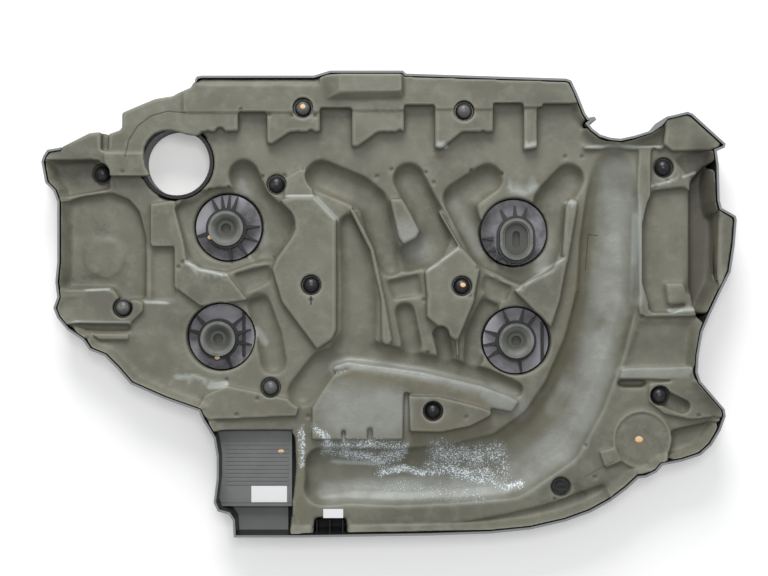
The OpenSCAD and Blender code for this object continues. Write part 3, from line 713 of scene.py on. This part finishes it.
def relief_of(mesh):
    here = positions(mesh)
    mean = neighbour_mean(mesh)
    soft = here.copy()
    for _ in range(RELIEF_ROUNDS):
        soft += (mean(soft) - soft) * PULL
    bulge = ((here - soft) * vectors(mesh, "normal")).sum(1)
    return np.clip(RELIEF_MIDDLE + bulge / RELIEF_GAIN * RELIEF_SPAN, 0.0, 1.0)


relief = relief_of(liner.data)
store(liner.data, "relief", relief)
print("liner:", len(liner.data.polygons), "triangles, relief", float(relief.min()), float(relief.max()))

# %% [markdown]
# ### The edge of the liner
# The skin climbs the wall of the tray until just below its lip. Each vertex near the outer
# wall moves up along that wall and keeps a small gap to the plastic. Rays cast straight
# down give the height of the lip and of the foam beside it. Beside the bare panel the wall
# of the liner leans over instead.

# %% Where a vertex climbs to
LIP_MARGIN = 1.6 * MM
CLIMB_REACH = 7.0 * MM
HUG = 2.6 * MM
SKIN_GAP = 0.9 * MM
BACK_EDGE = 5.0 * MM
BED_DEPTH, LOWEST_BED = 2.5 * MM, 8.0 * MM
OUTSIDE, CREST_STEPS = 9.0, 8
WALL_TILT = 0.5
RAY_TOP = 0.2
STAY = (0.0, 0.0, 0.0)


def level(surface, place):
    hit = surface.ray_cast(Vector((place.x, place.y, RAY_TOP)), Vector((0.0, 0.0, -1.0)))[0]
    return hit.z if hit else None


def climb(tray, skin, point):
    spot, facing, _, gap = tray.find_nearest(point, CLIMB_REACH)
    if spot is None or point.z < BACK_EDGE or abs(facing.z) > WALL_TILT:
        return STAY
    out = Vector((-facing.x, -facing.y, 0.0)).normalized()
    if level(tray, spot + out * OUTSIDE * MM) is not None:
        return STAY
    crest = max(level(tray, spot + out * reach * MM) or 0.0 for reach in range(CREST_STEPS))
    bed = level(skin, spot - out * CLIMB_REACH)
    if bed is None or crest - LIP_MARGIN <= max(bed, point.z):
        return STAY
    along = (Vector((0.0, 0.0, 1.0)) - facing * facing.z).normalized()
    near = 1.0 - float(rise(gap, HUG, CLIMB_REACH))
    low = float(rise(point.z, BACK_EDGE, max(bed - BED_DEPTH, LOWEST_BED)))
    height = min((crest - LIP_MARGIN - bed) * near * low, crest - LIP_MARGIN - point.z)
    step = along * (height / along.z) - facing * (max(gap - SKIN_GAP, 0.0) * near * near * low)
    under = level(tray, point + step)
    return STAY if under is None or under > (point + step).z else tuple(step)


print("climb reach:", CLIMB_REACH, "m, lip margin:", LIP_MARGIN, "m")

# %% Climb the outer wall
SETTLE_ROUNDS = 2

graph = bpy.context.evaluated_depsgraph_get()
tray = BVHTree.FromObject(nodes["cover_shell"], graph)
skin = BVHTree.FromObject(liner, graph)
co = positions(liner.data)
move = np.array([climb(tray, skin, Vector(p)) for p in co.tolist()])
mean = neighbour_mean(liner.data)
for _ in range(SETTLE_ROUNDS):
    move += (mean(move) - move) * PULL
climbers = int((move[:, 2] > MM).sum())
print("climbing vertices:", climbers, "highest move mm:", float(move[:, 2].max() / MM))

# %% Lean over the panel
LEAN = 3.4 * MM
PANEL_LEFT, PANEL_FADE, PANEL_ABOVE, PANEL_BELOW = 299.0, 303.0, 432.0, 520.0
SIDE_BLEND = 4.0
LEAN_RISE = (10.0 * MM, 26.0 * MM)

grid_x, grid_y = on_grid(co)
side = 1.0 - rise(grid_x, PANEL_LEFT, PANEL_FADE)
side *= (rise(grid_y, PANEL_ABOVE - SIDE_BLEND, PANEL_ABOVE)
         * (1.0 - rise(grid_y, PANEL_BELOW - SIDE_BLEND, PANEL_BELOW)))
side *= (grid_x > PANEL_LEFT - SIDE_BLEND) * rise(co[:, 2], *LEAN_RISE)
move[:, 0] -= LEAN * side
set_positions(liner.data, co + move)
print("leaning vertices:", int((side > 0.0).sum()))

# %% [markdown]
# ### Stains and painted light of the liner
# Years in an engine bay leave rubbed and dirty places and the white bloom. Beside them lie
# painted light and shade: olive painted shade on slopes turned from the light, painted sheen
# on the rubbed places, painted highlights on lit edges, and painted shade in trenches and pockets.
# Painting them by hand isn't possible in a script, so each is a list of strokes:
# places on the grid, a width in mm, a hard core and a strength. They are stored on the mesh
# as attributes, where the foam material reads them.

# %% Olive painted shade, rubbed places with painted sheen, painted highlights
# Olive painted shade on the walls and slopes turned from the light.
OLIVE_PAINTED_SHADE = [([(590, 215), (584, 262), (572, 330), (556, 380)], 13, 0.2, 1.0),
         ([(345, 372), (405, 380), (455, 392), (486, 404)], 8, 0.2, 1.0),
         ([(300, 432), (300, 520)], 8, 0.3, 1.0), ([(254, 408), (270, 408)], 8, 0.3, 0.7),
         ([(420, 440), (520, 432), (560, 400)], 26, 0.1, 0.8)]
# Rubbed places with painted sheen: the duct floor, lit ridges and worn pads.
RUBBED_AND_SHEEN = [([(618, 175), (616, 230), (612, 300), (602, 350)], 26, 0.3, 1.0),
          ([(600, 360), (585, 410), (560, 450), (525, 475)], 26, 0.3, 0.8),
          ([(500, 490), (400, 492), (330, 496)], 17, 0.3, 1.0),
          ([(570, 385), (556, 410)], 13, 0.3, 0.8), ([(340, 410), (385, 412)], 34, 0.4, 0.9),
          ([(638, 200), (638, 300)], 9, 0.3, 0.9),
          ([(335, 368), (350, 363), (422, 374), (480, 389), (506, 400)], 9, 0.3, 1.0),
          ([(496, 396), (520, 408)], 17, 0.2, 1.0), ([(545, 235), (545, 265)], 15, 0.2, 0.8),
          ([(240, 185), (262, 240)], 10, 0.2, 0.6), ([(404, 230), (420, 246)], 20, 0.2, 0.7),
          ([(455, 205), (480, 250)], 10, 0.2, 0.6)]
# Painted highlights: thin pale streaks along lit edges, ridges and glossy spots.
PAINTED_HIGHLIGHTS = [([(316, 198), (336, 219)], 3.6, 0.2, 1.0), ([(76, 322), (129, 323)], 2, 0.3, 1.0),
          ([(86, 290), (108, 289)], 1.8, 0.3, 1.0), ([(174, 378), (190, 376), (206, 380)], 3, 0.3, 0.9),
          ([(186, 262), (197, 269), (225, 275)], 3, 0.3, 1.0), ([(145, 302), (165, 303)], 2.2, 0.3, 1.0),
          ([(512, 188), (524, 192), (536, 187)], 7, 0.1, 0.8), ([(568, 202), (576, 203)], 3, 0.3, 1.0),
          ([(209, 386), (224, 385)], 5, 0.4, 1.0), ([(256, 330), (264, 343)], 5, 0.3, 0.6),
          ([(588, 146), (660, 146)], 2, 0.3, 0.8), ([(285, 196), (314, 196)], 1.8, 0.3, 1.0),
          ([(427, 271), (458, 248)], 2, 0.3, 0.9), ([(517, 290), (564, 258)], 2, 0.3, 0.8),
          ([(672, 311), (696, 309)], 3, 0.3, 1.0), ([(652, 186), (680, 178), (697, 172)], 2, 0.3, 1.0),
          ([(332, 464), (377, 466)], 2.8, 0.3, 1.0), ([(526, 146), (535, 144)], 3, 0.3, 1.0),
          ([(438, 145), (446, 146)], 3, 0.3, 0.9), ([(622, 373), (690, 372)], 8, 0.4, 0.45),
          ([(637, 215), (636, 262)], 3.5, 0.3, 0.9)]
print("strokes: olive", len(OLIVE_PAINTED_SHADE), "rubbed_and_sheen", len(RUBBED_AND_SHEEN), "painted_highlight", len(PAINTED_HIGHLIGHTS))

# %% White bloom, dirt with painted shade, and painted shade
BLOOM = [([(301, 430), (302, 466)], 5, 0.2, 0.85), ([(314, 429), (326, 437), (330, 446)], 6, 0.2, 1.0),
         ([(326, 450), (352, 455), (376, 460)], 12, 0.0, 1.0), ([(345, 444), (395, 446)], 13, 0.0, 0.65),
         ([(380, 462), (404, 452)], 13, 0.2, 0.8),
         ([(380, 476), (402, 470), (425, 476), (455, 471), (474, 482), (492, 484), (506, 491), (522, 486)],
          6, 0.2, 1.0),
         ([(440, 452), (470, 460), (496, 456)], 21, 0.0, 0.85), ([(432, 470), (492, 476)], 15, 0.0, 0.75),
         ([(380, 488), (430, 494), (480, 496)], 17, 0.0, 0.32), ([(500, 450), (508, 478)], 10, 0.1, 0.5)]
BARE = [([(419, 440), (414, 461)], 9, 0.6, 1.0)]
# Dark specks: dirt stains, and painted shade in the corner pocket, the slots and the right-hand recess.
DIRT_AND_SHADE = [([(92, 220), (104, 232)], 11, 0.1, 0.6), ([(68, 282), (96, 275)], 7, 0.1, 0.7),
        ([(60, 170), (95, 178)], 14, 0.1, 0.5), ([(374, 108), (400, 113)], 8, 0.1, 0.6),
        ([(336, 104), (350, 112)], 7, 0.1, 0.5), ([(112, 128), (124, 140)], 6, 0.1, 0.4),
        ([(640, 428), (660, 446)], 12, 0.1, 0.5), ([(690, 160), (706, 190)], 12, 0.1, 0.6),
        ([(576, 484), (584, 495)], 7, 0.1, 0.9), ([(412, 395), (456, 398)], 5, 0.1, 0.5),
        ([(300, 430), (312, 446)], 7, 0.1, 0.5), ([(540, 120), (575, 140)], 16, 0.1, 0.3)]
# Painted shade: the right-hand trench, deep pockets, under ledges and along the lower edge.
PAINTED_SHADE = [([(702, 150), (708, 215), (700, 292)], 20, 0.15, 1.0), ([(728, 222), (728, 262)], 10, 0.2, 0.7),
         ([(66, 150), (100, 176)], 18, 0.0, 0.55), ([(72, 282), (96, 300), (130, 312)], 20, 0.0, 0.5),
         ([(690, 330), (704, 322)], 16, 0.0, 0.4), ([(640, 345), (690, 345)], 22, 0.0, 0.45),
         ([(670, 404), (706, 400)], 12, 0.0, 0.6), ([(520, 100), (576, 108)], 14, 0.0, 0.35),
         ([(150, 300), (178, 330)], 14, 0.0, 0.35), ([(560, 500), (640, 470)], 10, 0.0, 0.4)]
print("strokes: bloom", len(BLOOM), "dirt_and_shade", len(DIRT_AND_SHADE), "painted_shade", len(PAINTED_SHADE))


# %% Store the stains and the painted light and shade on the mesh
def stroke_area(co, strokes):
    x, y = on_grid(co)
    out = np.zeros(len(co))
    for points, width, core, strength in strokes:
        for (ax, ay), (bx, by) in zip(points, points[1:]):
            dx, dy = bx - ax, by - ay
            share = np.clip(((x - ax) * dx + (y - ay) * dy) / (dx * dx + dy * dy), 0.0, 1.0)
            far = np.hypot(x - ax - share * dx, y - ay - share * dy)
            out = np.maximum(out, strength * (1.0 - rise(far, width * core, width)))
    return out


co = positions(liner.data)
areas = {name: stroke_area(co, strokes) for name, strokes in (
    ("olive_painted_shade", OLIVE_PAINTED_SHADE), ("rubbed_and_sheen", RUBBED_AND_SHEEN), ("painted_highlight", PAINTED_HIGHLIGHTS), ("dirt_and_shade", DIRT_AND_SHADE), ("painted_shade", PAINTED_SHADE))}
areas["bloom"] = np.clip(stroke_area(co, BLOOM) - stroke_area(co, BARE), 0.0, 1.0)
for name, area in areas.items():
    store(liner.data, name, area)
    print("stroke_area", name, "mean", round(float(area.mean()), 4))

# %% Dress the liner and hand it to the frame
liner.data.materials.clear()
liner.data.materials.append(foam_finish)
only(liner)
bpy.ops.object.shade_smooth()
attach(liner, "root")
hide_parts("foam_liner")
print("liner dressed:", liner.name, foam_finish.name)

# %% [markdown]
# ## Paint dots
# Inspectors leave a dab of orange paint. Each is a small flattened sphere that sits on
# the surface below it: the height comes from a ray cast down onto the visible pieces.

# %% Orange paint dots
DOTS = [(303, 107, 2.8), (463, 285, 2.8), (209, 237, 2.6),
        (216, 358, 2.6), (280, 453, 3.0), (640, 440, 4.0)]
DOT_SHAPE = (1.0, 0.8, 0.14)
DOT_SEGMENTS, DOT_RINGS = 24, 12
DROP_FROM = 0.3


def drop_height(spot):
    graph = bpy.context.evaluated_depsgraph_get()
    start = Vector((spot.x, spot.y, DROP_FROM))
    hit, place, *_ = bpy.context.scene.ray_cast(graph, start, Vector((0, 0, -1)))
    return place.z if hit else 0.0


for index, (x, y, radius) in enumerate(DOTS):
    spot = at(x, y)
    spot.z = drop_height(spot)
    bpy.ops.object.select_all(action="DESELECT")
    bpy.ops.mesh.primitive_uv_sphere_add(segments=DOT_SEGMENTS, ring_count=DOT_RINGS,
                                         radius=radius * MM, location=spot)
    dot = bpy.context.object
    dot.name = f"paint_dot_{index + 1}"
    dot.scale = DOT_SHAPE
    bpy.ops.object.transform_apply(location=True, rotation=True, scale=True)
    dot.data.materials.append(paint_finish)
    bpy.ops.object.shade_smooth()
    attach(dot, "root")
print("paint dots:", len(DOTS))

# %% [markdown]
# ## Table, light and camera
# A white table, a broad soft light from the far side, a smaller one overhead and a pale
# sky give the short shadows of the picture. The table glows a little for the camera
# alone, so that it shows white. The camera hangs above the middle of the photographed
# frame and looks straight down, and its lens fits the frame at the height of the liner.

# %% Table
TABLE_SIZE, TABLE_DROP = 8.0, 0.0005
TABLE_GREY = (0.93, 0.93, 0.92, 1.0)
TABLE_WHITE = (0.96, 0.96, 0.955, 1.0)
TABLE_CLOUDS = (3.0, 3.0)
GLOW = {"Color": (1.0, 0.99, 0.97, 1.0), "Strength": 0.26}

bpy.ops.object.select_all(action="DESELECT")
bpy.ops.mesh.primitive_plane_add(size=TABLE_SIZE, location=(0.0, 0.0, -TABLE_DROP))
table_top = bpy.context.object
table_top.name = "table_top"
table_finish, tree, shader, place = new_material("white_table", roughness=0.6)
paper = mix_color(tree, noise_at(tree, place, *TABLE_CLOUDS), TABLE_GREY, TABLE_WHITE)
tree.links.new(paper, shader.inputs["Base Color"])
glow = node(tree, "ShaderNodeEmission", GLOW)
both = node(tree, "ShaderNodeAddShader", {0: shader.outputs[0], 1: glow.outputs[0]})
seen = node(tree, "ShaderNodeLightPath").outputs["Is Camera Ray"]
pick = node(tree, "ShaderNodeMixShader", {0: seen, 1: shader.outputs[0], 2: both.outputs[0]})
tree.links.new(pick.outputs[0], tree.nodes["Material Output"].inputs["Surface"])
table_top.data.materials.append(table_finish)
table_top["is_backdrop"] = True
print("table:", table_top.name)


# %% Lights and sky
def area_light(name, place, size, power, aim=(0.0, 0.0, 0.0)):
    data = bpy.data.lights.new(name, "AREA")
    data.shape = "SQUARE"
    data.size = size
    data.energy = power
    lamp = bpy.data.objects.new(name, data)
    bpy.context.scene.collection.objects.link(lamp)
    lamp.location = place
    lamp.rotation_mode = "QUATERNION"
    lamp.rotation_quaternion = (Vector(aim) - Vector(place)).to_track_quat("-Z", "Y")
    return lamp


SKY_COLOR, SKY_STRENGTH = (0.95, 0.98, 1.0, 1.0), 0.42

lamps = [area_light("window", place=(-0.2, 1.7, 1.1), size=1.0, power=31.0),
         area_light("overhead", place=(0.05, 0.45, 2.3), size=0.6, power=12.0)]
world = bpy.data.worlds.new("pale_room")
bpy.context.scene.world = world
world.use_nodes = True
sky = world.node_tree.nodes["Background"].inputs
sky["Color"].default_value = SKY_COLOR
sky["Strength"].default_value = SKY_STRENGTH
print("lights:", [lamp.name for lamp in lamps], "and a sky")

# %% Camera
CAMERA_HEIGHT = 1.75
REFERENCE_Z = 0.042
PIXELS = (768.0, 576.0)
SENSOR = 36.0
camera_data = bpy.data.cameras.new("camera")
camera = bpy.data.objects.new("camera", camera_data)
bpy.context.scene.collection.objects.link(camera)
middle = at(PIXELS[0] / 2, PIXELS[1] / 2)
camera.location = (middle.x, middle.y, CAMERA_HEIGHT)
camera_data.sensor_width = SENSOR
camera_data.lens = SENSOR * (CAMERA_HEIGHT - REFERENCE_Z) / (PIXELS[0] * MM)
bpy.context.scene.camera = camera
bpy.context.scene.view_settings.view_transform = "Standard"
print("lens mm:", camera_data.lens)

# %% Sizes: the bounds of the shown pieces
low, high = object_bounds()
